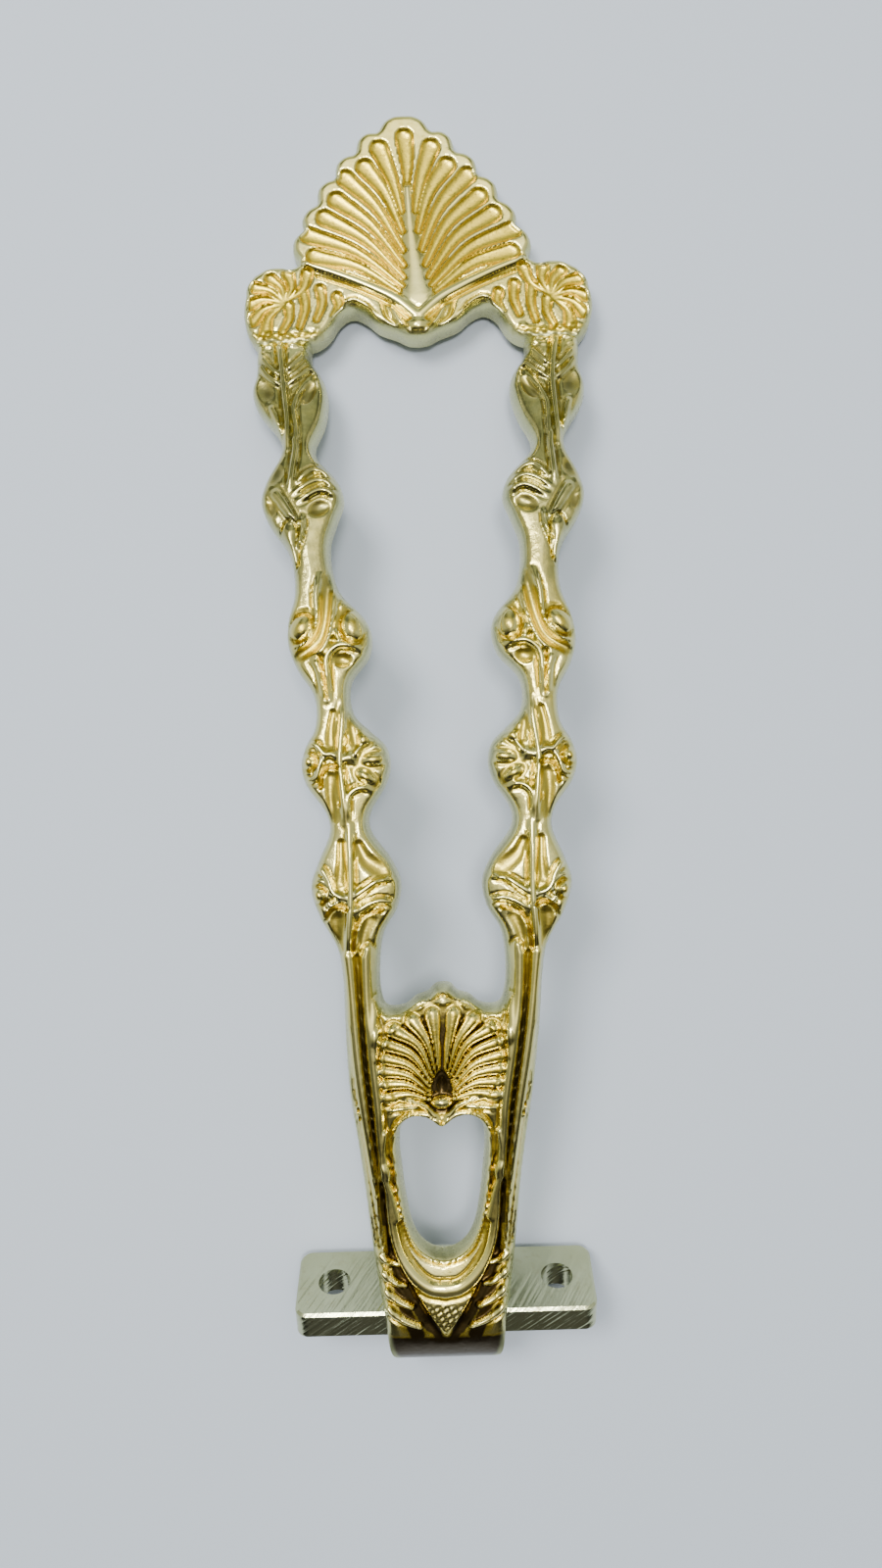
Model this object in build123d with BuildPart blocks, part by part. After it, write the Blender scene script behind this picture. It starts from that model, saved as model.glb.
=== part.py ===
from build123d import *
import math
import os

# A cast brass door knocker, lying on its back with its hinge bracket at the open stop.
# +Z is up off the table, +Y runs from the bracket to the crest. Millimetres.

# Overall sizes
overall_length = 199.5  # heel of the foot to the tip of the crest
crest_width = 56.0  # across the wings of the crest
crest_length = 38.6  # joint with the arms to the tip
foot_length = 63.9  # heel to where the arms leave the foot

# Hinge bracket: a plate with a lug in front of it
plate_width = 46.8
plate_height = 12.85
plate_thickness = 4.5
plate_corner = 2.0
plate_edge = 0.4  # chamfer on the front edges
screw_hole_radius = 2.5
screw_spacing = 35.2
lug_width = 12.0
lug_radius = 3.0
lug_root_height = 8.0  # where the lug meets the plate
rest_lift = 65.4  # degrees between the table and the back of the plate

# Hinge
pin_radius = 1.5
pin_running_gap = 0.05  # radial, in the lug
pin_to_face = 4.0  # pin axis to the front face of the plate
plate_drop = 1.0  # middle of the plate below the pin axis
cheek_thickness = 3.0
cheek_face_gap = 0.6  # lobes of the cheeks to the front face of the plate
cheek_gap = 0.2  # beside the lug
cheek_root = 1.4  # how far the cheeks run up into the wall of the foot
swing_gap = 0.4  # plate to the hollow of the foot

# Foot
pin_from_heel = 15.3
foot_width = 21.0  # across the band at the pin
shoulder_width = 29.0  # where the arms leave the foot
heel_width = 17.4
heel_corner = 4.0
heel_bottom = 5.0  # above the table
bridge_top = 59.6  # this and the opening's ends are measured from the heel
bridge_fall = 2.0  # from its crown to its sides
bridge_crown = 4.0  # width of the crown
opening_top = 40.4
opening_bottom = 19.1
opening_width_top = 14.6
opening_width_bottom = 11.0
opening_tip = 1.5  # point hanging into the opening
rail_thickness = 5.5  # arms and rails, front to back

# Arms: width of the strap, and five bulges
neck_width = 4.8
joint_width = 7.2
bulge_length = 13.0
bulge_widths = [12.4, 12.4, 11.8, 11.2, 10.6]
bulge_shares = [0.118, 0.307, 0.505, 0.730, 0.913]  # along the arm, from the foot
arm_spread = [24.3, 25.7, 28.1, 30.8, 37.1, 41.2, 44.7]  # between centre lines, same places

# Front surface above the table, along the foot and along the arms
foot_rise = [(0.4, 8.5), (3.4, 13.8), (8.4, 16.8), (24.4, 18.8), (39.4, 21.2)]
arm_rise = [23.9, 24.6, 24.5, 23.0, 18.7, 10.8, 8.0]

# Crest
crest_tip_height = 3.4
crest_middle_height = 4.8
crest_lift_length = 13.0  # joint to where the back comes down to the table
rib_width = 2.2
rib_length = 20.4
fan_step = 9.0  # degrees between flutes
flute_reach = [29.1, 27.6, 25.0, 24.5, 22.0, 20.9, 21.2, 18.5]
flute_radius = 1.35
flute_start = 6.5  # foot of the rib to the near end of a flute
rim_radius = 3.2
wing_flutes = 5
wing_flute_first = 15.0  # degrees off the length of the part
wing_flute_step = 30.0
wing_flute_start = 1.5
wing_rim = 1.2
wing_radius = 5.6
wing_rise = 7.5  # joint to the middle of a wing
arch_rise = 5.6  # joint to the top of the arch beside the middle point
arch_bar = 6.0  # crest above the arch, up and down
point_rise = 0.6  # joint to the lowest point of the middle
point_width = 16.0
wing_flute_radius = 0.7

# Raised detail
relief = 0.7
petals = 11
petal_radius = 0.75
petal_start = 3.6  # hub to the near end of a petal
petal_side_reach = 9.2
petal_top_gap = 2.0  # far end of the middle petal to the top of the bridge
hub_radius = 1.5
hub_above_opening = 2.4
eye_radius = 1.3
eye_inset = 2.1  # middle of an eye to the edge of its bulge
rib_line_width = 1.0
chevrons = 4
chevron_pitch = 2.8
chevron_start = 10.0  # heel to the outer end of the lowest chevron
chevron_spread = 8.5  # middle line to the outer end of a chevron
chevron_slant = 60.0  # degrees off the length of the part
chevron_length = 3.4
chevron_radius = 0.8

os.makedirs("parts", exist_ok=True)

# Places that follow from the sizes
heel_y = -overall_length / 2
tip_y = overall_length / 2
joint_y = tip_y - crest_length
shoulder_y = heel_y + foot_length
arm_length = joint_y - shoulder_y
joint_x = arm_spread[-1] / 2
joint_back = arm_rise[-1] - rail_thickness  # back of the arms above the table, at the joint
fan_foot = (0, tip_y - rim_radius - flute_reach[0])
arm_places = [shoulder_y + arm_length * share for share in [0.0] + bulge_shares + [1.0]]
arm_middles = [spread / 2 for spread in arm_spread]

lean = math.radians(rest_lift)
back_depth = pin_to_face + plate_thickness
lower_reach = plate_height / 2 + plate_drop
upper_reach = plate_height / 2 - plate_drop
pin_y = heel_y + pin_from_heel
pin_z = back_depth * math.cos(lean) + lower_reach * math.sin(lean)

# The plate's plane: its X is across the part, its Y up the plate, its Z out of the front face
plate_plane = Plane(
    origin=(0, pin_y - pin_to_face * math.sin(lean), pin_z - pin_to_face * math.cos(lean)),
    x_dir=(-1, 0, 0),
    z_dir=(0, math.sin(lean), math.cos(lean)),
)
plate_top_z = pin_z - pin_to_face * math.cos(lean) + upper_reach * math.sin(lean)
ceiling_z = plate_top_z + swing_gap
heel_clear_radius = math.hypot(back_depth, upper_reach) + swing_gap
ceiling_start_y = pin_y - math.sqrt(heel_clear_radius**2 - (ceiling_z - pin_z) ** 2)
heel_inner_y = pin_y - math.sqrt(heel_clear_radius**2 - (pin_z - heel_bottom) ** 2)
cheek_radius = pin_to_face - cheek_face_gap
cheek_inner = lug_width / 2 + cheek_gap
cheek_outer = cheek_inner + cheek_thickness
cutter = 2 * overall_length  # longer than anything it cuts
above = crest_width  # higher than anything on the part


def front_points(rise):
    """Side view of the front surface, heel to joint, raised by the given amount."""
    foot = [(heel_y + along, height + rise) for along, height in foot_rise]
    arm = [(place, height + rise) for place, height in zip(arm_places, arm_rise)]
    return foot + arm


def frame_profile(rise):
    """Side view of the foot and arms: front surface, back surface and the hollow heel."""
    front = front_points(rise)
    back = [(y, z - rise - rail_thickness) for y, z in front if y > heel_y + opening_bottom]
    back[0] = (back[0][0], ceiling_z)
    with BuildSketch(Plane.YZ) as profile:
        with BuildLine():
            Line((heel_y, heel_bottom), front[0])
            Spline(*front)
            Line(front[-1], back[-1])
            Spline(*reversed(back))
            Line(back[0], (ceiling_start_y, ceiling_z))
            RadiusArc(
                (ceiling_start_y, ceiling_z), (heel_inner_y, heel_bottom), -heel_clear_radius
            )
            Line((heel_inner_y, heel_bottom), (heel_y, heel_bottom))
        make_face()
    return profile.sketch


def crest_profile(rise):
    """Side view of the crest: flat on the table, and lifted off it where it meets the arms."""
    with BuildSketch(Plane.YZ) as profile:
        with BuildLine():
            Spline(
                (joint_y, arm_rise[-1] + rise),
                (joint_y + crest_length / 2, crest_middle_height + rise),
                (tip_y, crest_tip_height + rise),
            )
            Line((tip_y, crest_tip_height + rise), (tip_y, 0))
            Line((tip_y, 0), (joint_y + crest_lift_length, 0))
            Line((joint_y + crest_lift_length, 0), (joint_y, joint_back))
            Line((joint_y, joint_back), (joint_y, arm_rise[-1] + rise))
        make_face()
    return profile.sketch


def side_point(out, up):
    """Side view, (y, z): this far from the pin along the plate's normal and up the plate."""
    y = pin_y + out * math.sin(lean) - up * math.cos(lean)
    z = pin_z + out * math.cos(lean) + up * math.sin(lean)
    return (y, z)


def slot_between(near, far, radius):
    """A round-ended stroke from one point to another, in the sketch that is open."""
    middle = ((near[0] + far[0]) / 2, (near[1] + far[1]) / 2)
    SlotCenterPoint(middle, far, 2 * radius)


def along(start, angle, distance):
    """The point at this distance from start, in this direction in degrees."""
    turn = math.radians(angle)
    return (start[0] + distance * math.cos(turn), start[1] + distance * math.sin(turn))


def fan_angles():
    """Direction and reach of each flute of the crest, from right to left."""
    last = len(flute_reach) - 1
    for step in range(-last, last + 1):
        yield 90 - fan_step * step, flute_reach[abs(step)]


# Hinge bracket
with BuildPart() as hinge_bracket:
    with BuildSketch(plate_plane) as plate_face:
        with Locations((0, -plate_drop)):
            RectangleRounded(plate_width, plate_height, plate_corner)
    extrude(amount=-plate_thickness)
    front_edges = faces().sort_by(Axis(plate_plane.origin, plate_plane.z_dir))[-1].outer_wire()
    chamfer(front_edges.edges(), plate_edge)
    with BuildSketch(Plane.YZ.offset(-lug_width / 2)) as lug_side:
        with BuildLine():
            Polyline(
                side_point(0, lug_radius),
                side_point(-pin_to_face, lug_root_height / 2),
                side_point(-pin_to_face, -lug_root_height / 2),
                side_point(0, -lug_radius),
            )
            ThreePointArc(
                side_point(0, -lug_radius), side_point(lug_radius, 0), side_point(0, lug_radius)
            )
        make_face()
    extrude(amount=lug_width)
    with BuildSketch(Plane.YZ) as lug_bore:
        with Locations((pin_y, pin_z)):
            Circle(pin_radius + pin_running_gap)
    extrude(amount=lug_width, both=True, mode=Mode.SUBTRACT)
    with BuildSketch(plate_plane) as screw_holes:
        with Locations((screw_spacing / 2, -plate_drop), (-screw_spacing / 2, -plate_drop)):
            Circle(screw_hole_radius)
    extrude(amount=-plate_thickness, mode=Mode.SUBTRACT)

# Hinge pin, pressed into the cheeks of the foot
with BuildPart() as hinge_pin:
    with BuildSketch(Plane.YZ) as pin_section:
        with Locations((pin_y, pin_z)):
            Circle(pin_radius)
    extrude(amount=cheek_outer, both=True)

# Raised detail of the handle, seen from the front
with BuildPart() as frame_relief:
    with BuildSketch() as frame_strokes:
        for side in (-1, 1):
            for near, far in zip(range(len(arm_places) - 1), range(1, len(arm_places))):
                slot_between(
                    (side * arm_middles[near], arm_places[near]),
                    (side * arm_middles[far], arm_places[far]),
                    rib_line_width / 2,
                )
            for place, middle, width in zip(arm_places[1:-1], arm_middles[1:-1], bulge_widths):
                for lobe in (-1, 1):
                    with Locations((side * middle + lobe * (width / 2 - eye_inset), place)):
                        Circle(eye_radius)
            for row in range(chevrons):
                start = (side * chevron_spread, heel_y + chevron_start + chevron_pitch * row)
                end = along(start, -90 - side * chevron_slant, chevron_length)
                slot_between(start, end, chevron_radius)
        hub = (0, heel_y + opening_top + hub_above_opening)
        with Locations(hub):
            Circle(hub_radius)
        petal_top_reach = bridge_top - opening_top - hub_above_opening - petal_top_gap
        for petal in range(petals):
            angle = 180 * petal / (petals - 1)
            extra = (petal_top_reach - petal_side_reach) * math.sin(math.radians(angle))
            near = along(hub, angle, petal_start)
            slot_between(near, along(hub, angle, petal_side_reach + extra), petal_radius)
    extrude(amount=above)
    extrude(frame_profile(relief), amount=cutter, both=True, mode=Mode.INTERSECT)

# Handle: two arms, the shell bridge and the foot, one casting
with BuildPart() as knocker_frame:
    with BuildSketch() as handle_plan:
        for side in (-1, 1):
            middles = list(zip(arm_middles, arm_places))
            with BuildLine():
                widths = [neck_width] * (len(middles) - 1) + [joint_width]
                inner = [(side * (x - w / 2), y) for (x, y), w in zip(middles, widths)]
                outer = [(side * (x + w / 2), y) for (x, y), w in zip(middles, widths)]
                Spline(*inner)
                Line(inner[-1], outer[-1])
                Spline(*reversed(outer))
                Line(outer[0], inner[0])
            make_face()
            for place, middle, width in zip(arm_places[1:-1], arm_middles[1:-1], bulge_widths):
                with Locations((side * middle, place)):
                    Ellipse(width / 2, bulge_length / 2)
        with BuildLine():
            half_foot = [
                (shoulder_width / 2, shoulder_y),
                (foot_width / 2, pin_y),
                (heel_width / 2, heel_y + heel_corner),
            ]
            Polyline(
                *half_foot,
                (heel_width / 2 - heel_corner, heel_y),
                (heel_corner - heel_width / 2, heel_y),
                *[(-x, y) for x, y in reversed(half_foot)],
                half_foot[0],
            )
        make_face()
        with BuildLine():
            shoulder_inner = arm_middles[0] - neck_width / 2
            Polyline(
                (shoulder_inner, shoulder_y),
                (shoulder_inner, heel_y + bridge_top - bridge_fall),
                (bridge_crown / 2, heel_y + bridge_top),
                (-bridge_crown / 2, heel_y + bridge_top),
                (-shoulder_inner, heel_y + bridge_top - bridge_fall),
                (-shoulder_inner, shoulder_y),
                (shoulder_inner, shoulder_y),
            )
        make_face(mode=Mode.SUBTRACT)
        with BuildLine():
            Polyline(
                (0, heel_y + opening_top - opening_tip),
                (opening_width_top / 2, heel_y + opening_top),
                (opening_width_bottom / 2, heel_y + opening_bottom + opening_width_bottom / 2),
            )
            ThreePointArc(
                (opening_width_bottom / 2, heel_y + opening_bottom + opening_width_bottom / 2),
                (0, heel_y + opening_bottom),
                (-opening_width_bottom / 2, heel_y + opening_bottom + opening_width_bottom / 2),
            )
            Polyline(
                (-opening_width_bottom / 2, heel_y + opening_bottom + opening_width_bottom / 2),
                (-opening_width_top / 2, heel_y + opening_top),
                (0, heel_y + opening_top - opening_tip),
            )
        make_face(mode=Mode.SUBTRACT)
    extrude(amount=above)
    extrude(frame_profile(0), amount=cutter, both=True, mode=Mode.INTERSECT)
    add(frame_relief.part)
    for side in (-1, 1):
        with BuildSketch(Plane.YZ.offset(side * cheek_inner)) as cheek_side:
            with Locations((pin_y, pin_z)):
                Circle(cheek_radius)
            with BuildLine():
                root_z = ceiling_z + cheek_root
                rear = side_point(-cheek_radius, 0)
                Polyline(
                    (pin_y, pin_z),
                    rear,
                    side_point(-cheek_radius, (root_z - rear[1]) / math.sin(lean)),
                    (pin_y + cheek_radius, root_z),
                    (pin_y + cheek_radius, pin_z),
                    (pin_y, pin_z),
                )
            make_face()
        extrude(amount=side * cheek_thickness)
    with BuildSketch(Plane.YZ) as pin_bore:
        with Locations((pin_y, pin_z)):
            Circle(pin_radius)
    extrude(amount=cheek_outer, both=True, mode=Mode.SUBTRACT)

# Raised detail of the crest
with BuildPart() as crest_relief:
    wing_centers = [(side * (crest_width / 2 - wing_radius), joint_y + wing_rise) for side in (-1, 1)]
    with BuildSketch() as crest_strokes:
        for angle, reach in fan_angles():
            near = along(fan_foot, angle, flute_start)
            slot_between(near, along(fan_foot, angle, reach), flute_radius)
        slot_between(fan_foot, along(fan_foot, 90, rib_length), rib_width / 2)
        for side, center in zip((-1, 1), wing_centers):
            for flute in range(wing_flutes):
                angle = 90 - side * (flute * wing_flute_step + wing_flute_first)
                near = along(center, angle, wing_flute_start)
                slot_between(near, along(center, angle, wing_radius - wing_rim), wing_flute_radius)
    extrude(amount=above)
    extrude(crest_profile(relief), amount=cutter, both=True, mode=Mode.INTERSECT)

# Shell crest, a casting of its own, joined to the tops of the arms
with BuildPart() as shell_crest:
    bar_y = joint_y + arch_rise + arch_bar / 2
    with BuildSketch() as crest_plan:
        for angle, reach in fan_angles():
            slot_between(fan_foot, along(fan_foot, angle, reach), rim_radius)
        for side, center in zip((-1, 1), wing_centers):
            with Locations(center):
                Circle(wing_radius)
            slot_between((0, bar_y), (center[0], bar_y), arch_bar / 2)
            with BuildLine():
                Polyline(
                    (side * (joint_x - joint_width / 2), joint_y),
                    (side * (joint_x + joint_width / 2), joint_y),
                    center,
                    (side * (joint_x - joint_width / 2), joint_y),
                )
            make_face()
        with BuildLine():
            Polyline(
                (0, joint_y + point_rise),
                (point_width / 2, bar_y),
                (-point_width / 2, bar_y),
                (0, joint_y + point_rise),
            )
        make_face()
    extrude(amount=above)
    extrude(crest_profile(0), amount=cutter, both=True, mode=Mode.INTERSECT)
    add(crest_relief.part)

for name, piece in [
    ("hinge_bracket", hinge_bracket),
    ("hinge_pin", hinge_pin),
    ("knocker_frame", knocker_frame),
    ("shell_crest", shell_crest),
]:
    piece.part.label = name
    export_step(piece.part, f"parts/{name}.step")
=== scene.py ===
import math

import bpy
import numpy as np
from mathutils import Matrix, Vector
from mathutils.geometry import delaunay_2d_cdt


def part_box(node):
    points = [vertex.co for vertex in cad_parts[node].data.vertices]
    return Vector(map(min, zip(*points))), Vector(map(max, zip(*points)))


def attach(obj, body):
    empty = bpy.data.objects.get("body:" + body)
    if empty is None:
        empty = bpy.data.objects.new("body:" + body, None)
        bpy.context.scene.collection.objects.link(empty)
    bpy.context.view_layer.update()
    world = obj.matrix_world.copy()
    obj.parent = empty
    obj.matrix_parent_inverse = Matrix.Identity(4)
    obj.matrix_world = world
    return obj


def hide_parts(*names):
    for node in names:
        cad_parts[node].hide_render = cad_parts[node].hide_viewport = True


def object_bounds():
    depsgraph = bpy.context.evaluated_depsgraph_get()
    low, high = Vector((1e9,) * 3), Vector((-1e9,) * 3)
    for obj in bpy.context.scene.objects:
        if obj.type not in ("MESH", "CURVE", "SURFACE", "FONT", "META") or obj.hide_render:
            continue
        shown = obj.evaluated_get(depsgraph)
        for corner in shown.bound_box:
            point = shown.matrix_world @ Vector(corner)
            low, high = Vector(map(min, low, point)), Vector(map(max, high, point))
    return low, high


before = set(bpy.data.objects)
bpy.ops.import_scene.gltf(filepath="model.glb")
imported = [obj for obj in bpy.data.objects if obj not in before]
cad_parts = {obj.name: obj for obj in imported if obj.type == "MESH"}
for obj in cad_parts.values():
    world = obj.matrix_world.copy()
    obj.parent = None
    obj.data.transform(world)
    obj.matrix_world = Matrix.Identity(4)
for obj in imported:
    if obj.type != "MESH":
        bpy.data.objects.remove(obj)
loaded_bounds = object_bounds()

# Shapes are laid out in millimetres in the part's own frame, +Y from the bracket to the crest
# and +Z out of the front, and scaled to metres when a mesh is made.
MM = 0.001
PITCH = 0.225  # grid of the relief surfaces
BACK_PITCH = 1.6  # grid of the plain backs
SNAP = 0.04  # share of the pitch within which a grid point counts as just inside the outline
LEAST_WALL = 0.3  # front to back where the relief runs deep
WALL_ROWS = 3
SIDE_BAND = (0.3, 1.0)  # the side's painted greenish reflection fades out between these depths inside the edge
SHARP_ANGLE = 62  # degrees; edges sharper than this aren't shaded smooth

MOAT_END = 1.75  # a ridge is set off by a shallow hollow out to this many times its half width
MOAT_DEPTH = 0.45  # share of the ridge's height
OPEN_GROUND = 0.25  # a moat fades out where other ridges rise to this height
NARROW = 1.15  # strokes under this width are rounded, wider ones are fuller
TAPER = (-0.08, 0.16)  # shares of a ridge's length over which its ends fade in
FAR = 9.0  # beyond the reach of any mark, in half widths

frame_low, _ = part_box("knocker_frame")
crest_low, crest_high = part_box("shell_crest")
pin_low, pin_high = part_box("hinge_pin")
BOX_LOW = np.array(loaded_bounds[0]) / MM
BOX_HIGH = np.array(loaded_bounds[1]) / MM
HEEL_Y = frame_low.y / MM
TIP_Y = crest_high.y / MM
JOINT_Y = crest_low.y / MM
PIN_Y = (pin_low.y + pin_high.y) / 2 / MM
PIN_Z = (pin_low.z + pin_high.z) / 2 / MM


# ---------------------------------------------------------------- curves

def curve(points, steps=6):
    """A smooth curve through the points (Catmull-Rom, chord spaced)."""
    p = np.array(points, float)
    if len(p) < 3:
        return p
    ends = np.vstack([2 * p[0] - p[1], p, 2 * p[-1] - p[-2]])
    out = []
    for i in range(1, len(ends) - 2):
        a, b, c, d = ends[i - 1:i + 3]
        k0 = max(np.linalg.norm(b - a), 1e-6) ** 0.5
        k1 = max(np.linalg.norm(c - b), 1e-6) ** 0.5
        k2 = max(np.linalg.norm(d - c), 1e-6) ** 0.5
        m1 = (c - b) + k1 * ((b - a) / k0 - (c - a) / (k0 + k1))
        m2 = (c - b) + k1 * ((d - c) / k2 - (d - b) / (k1 + k2))
        for t in np.linspace(0, 1, steps, endpoint=False):
            h = t * t * (3 - 2 * t)
            out.append(b * (1 - h) + c * h + m1 * t * (1 - t) ** 2 - m2 * t * t * (1 - t))
    out.append(p[-1])
    return np.array(out)


def mirrored_loop(half):
    """A closed outline from its right half, listed from middle line to middle line."""
    left = half[::-1] * [-1, 1]
    return np.vstack([half, left[1:-1]])


def line_through(points):
    """A function giving the second value of a smooth curve at any first value."""
    c = curve(points, 12)
    order = np.argsort(c[:, 0], kind="stable")
    first, second = c[order, 0], c[order, 1]
    return lambda v: np.interp(v, first, second)


def inside_depth(x, y, loops):
    """Distance inside the first outline and outside the others."""
    depth = signed_distance(x, y, loops[0])
    for hole in loops[1:]:
        depth = np.minimum(depth, -signed_distance(x, y, hole))
    return depth


def signed_distance(x, y, loop):
    """Distance to a closed outline, positive inside it."""
    a = loop
    b = np.roll(loop, -1, axis=0)
    best = np.full(x.shape, np.inf)
    inside = np.zeros(x.shape, bool)
    for (ax, ay), (bx, by) in zip(a, b):
        ex, ey = bx - ax, by - ay
        length2 = ex * ex + ey * ey
        if length2 < 1e-12:
            continue
        t = np.clip(((x - ax) * ex + (y - ay) * ey) / length2, 0, 1)
        best = np.minimum(best, (x - ax - t * ex) ** 2 + (y - ay - t * ey) ** 2)
        crosses = (ay > y) != (by > y)
        if ay != by:
            inside ^= crosses & (x < ax + (y - ay) * ex / ey)
    best = np.sqrt(best)
    return np.where(inside, best, -best)


# ---------------------------------------------------------------- relief

class Relief:
    """Heights in millimetres over a set of points, built up from strokes, bosses and rings.

    raised, sunk and moat hold the highest ridge, the deepest groove and the deepest moat at each
    point; the stain and shade values hold the darkest colouring that a mark asks for: painted shade
    along grooves and cuts, and a stain on raised marks."""

    def __init__(self, x, y):
        self.x = x
        self.y = y
        self.raised = np.zeros(x.shape)
        self.sunk = np.zeros(x.shape)
        self.moat = np.zeros(x.shape)
        self.stain_and_shade = np.zeros(x.shape)

    def stroke(self, points, width, height, end_width=None, power=None, stain_and_shade=0.0):
        """A ridge (or a groove when height is below zero) along a smooth curve."""
        path = curve(points, 5)
        end_width = width if end_width is None else end_width
        if power is None:
            power = 1.0 if max(width, end_width) < NARROW else 0.6
        reach = max(width, end_width) / 2 * MOAT_END
        low, high = path.min(0) - reach, path.max(0) + reach
        near = (self.x > low[0]) & (self.x < high[0]) & (self.y > low[1]) & (self.y < high[1])
        if not near.any():
            return
        x, y = self.x[near], self.y[near]
        share = np.linspace(0, 1, len(path))
        q = np.full(x.shape, FAR)
        taper = np.ones(x.shape)
        for i in range(len(path) - 1):
            (ax, ay), (bx, by) = path[i], path[i + 1]
            ex, ey = bx - ax, by - ay
            length2 = max(ex * ex + ey * ey, 1e-9)
            t = np.clip(((x - ax) * ex + (y - ay) * ey) / length2, 0, 1)
            d = np.hypot(x - ax - t * ex, y - ay - t * ey)
            along = share[i] + (share[i + 1] - share[i]) * t
            radius = (width + (end_width - width) * along) / 2
            closer = d / radius < q
            q = np.where(closer, d / radius, q)
            taper = np.where(closer, np.minimum(along, 1 - along), taper)
        fade = smooth_step(taper, *TAPER) if height > 0 and power >= 1 else 1.0
        self.add(near, q, height, power, fade, stain_and_shade)

    def boss(self, centre, radii, height, turn=0.0, power=1.0, stain_and_shade=0.0):
        """A domed oval (or a hollow when height is below zero)."""
        c, s = math.cos(math.radians(turn)), math.sin(math.radians(turn))
        dx, dy = self.x - centre[0], self.y - centre[1]
        u, v = dx * c + dy * s, dy * c - dx * s
        q = np.hypot(u / radii[0], v / radii[1])
        near = q < MOAT_END
        self.add(near, q[near], height, power, 1.0, stain_and_shade)

    def ring(self, centre, radii, width, height, turn=0.0):
        """A ridge or groove round an oval."""
        c, s = math.cos(math.radians(turn)), math.sin(math.radians(turn))
        dx, dy = self.x - centre[0], self.y - centre[1]
        u, v = dx * c + dy * s, dy * c - dx * s
        scale = math.sqrt(radii[0] * radii[1])
        q = np.abs(np.hypot(u / radii[0], v / radii[1]) - 1) * scale / (width / 2)
        near = q < 1
        self.add(near, q[near], height, 1.0)

    def add(self, near, q, height, power, fade=1.0, stain_and_shade=0.0):
        """Lay one mark over what is there. q: distance from its middle in half widths. stain and
        shade: how dark it is coloured along its middle, as painted shade in grooves and cuts and as
        a stain on raised marks."""
        self.stain_and_shade[near] = np.maximum(self.stain_and_shade[near], stain_and_shade * (1 - smooth_step(q, 0.3, 0.85)))
        value = np.clip(1 - q * q, 0, 1) ** power * abs(height) * fade
        if height > 0:
            self.raised[near] = np.maximum(self.raised[near], value)
            middle = (1 + MOAT_END) / 2
            around = np.clip(1 - ((q - middle) / (MOAT_END - middle)) ** 2, 0, 1)
            around = around * MOAT_DEPTH * height * fade
            self.moat[near] = np.maximum(self.moat[near], around)
        else:
            self.sunk[near] = np.maximum(self.sunk[near], value)

    def height(self):
        open_ground = np.clip(1 - self.raised / OPEN_GROUND, 0, 1)
        return self.raised - np.maximum(self.sunk, self.moat * open_ground)


# ---------------------------------------------------------------- meshes

def cut_grid(loops, pitch):
    """Points and faces of a square grid cut along outlines. The first loop is the outside, the
    rest are openings. Returns points, their distance inside the edge, faces and the cut edges."""
    outer = loops[0]
    # grid lines stay half a step off the outline's own straight ends
    low, high = outer.min(0) - 1.5 * pitch, outer.max(0) + 2 * pitch
    nx = int((high[0] - low[0]) / pitch) + 2
    ny = int((high[1] - low[1]) / pitch) + 2
    gx, gy = np.meshgrid(low[0] + pitch * np.arange(nx), low[1] + pitch * np.arange(ny))
    depth = inside_depth(gx, gy, loops)
    depth = np.where(np.abs(depth) < SNAP * pitch, SNAP * pitch, depth)
    keep = depth > 0
    index = np.full(depth.shape, -1)
    index[keep] = np.arange(keep.sum())
    points = [np.column_stack([gx[keep], gy[keep]])]
    depths = list(depth[keep])
    count = int(keep.sum())
    cut_points = []
    cut_index = {}

    def crossing(a, b):
        """The point where the edge between two grid points meets the outline."""
        nonlocal count
        key = (min(a, b), max(a, b))
        if key not in cut_index:
            (j0, i0), (j1, i1) = key
            d0, d1 = depth[j0, i0], depth[j1, i1]
            t = d0 / (d0 - d1)
            x0, y0 = gx[j0, i0], gy[j0, i0]
            cut_points.append((x0 + t * (gx[j1, i1] - x0), y0 + t * (gy[j1, i1] - y0)))
            cut_index[key] = count
            count += 1
        return cut_index[key]

    full = keep[:-1, :-1] & keep[:-1, 1:] & keep[1:, 1:] & keep[1:, :-1]
    some = keep[:-1, :-1] | keep[:-1, 1:] | keep[1:, 1:] | keep[1:, :-1]
    j, i = np.nonzero(full)
    faces = np.column_stack(
        [index[j, i], index[j, i + 1], index[j + 1, i + 1], index[j + 1, i]]
    ).tolist()
    edges = []
    for j, i in zip(*np.nonzero(some & ~full)):
        corners = [(j, i), (j, i + 1), (j + 1, i + 1), (j + 1, i)]
        face = []
        kinds = []
        for k in range(4):
            a, b = corners[k], corners[(k + 1) % 4]
            if keep[a]:
                face.append(int(index[a]))
                kinds.append("grid")
            if keep[a] != keep[b]:
                face.append(crossing(a, b))
                kinds.append("out" if keep[a] else "in")
        faces.append(face)
        for k in range(len(face)):
            if kinds[k] == "out" and kinds[(k + 1) % len(face)] == "in":
                edges.append((face[k], face[(k + 1) % len(face)]))
    points.append(np.array(cut_points))
    depths += [0.0] * len(cut_points)
    return np.vstack(points), np.array(depths), faces, edges


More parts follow.
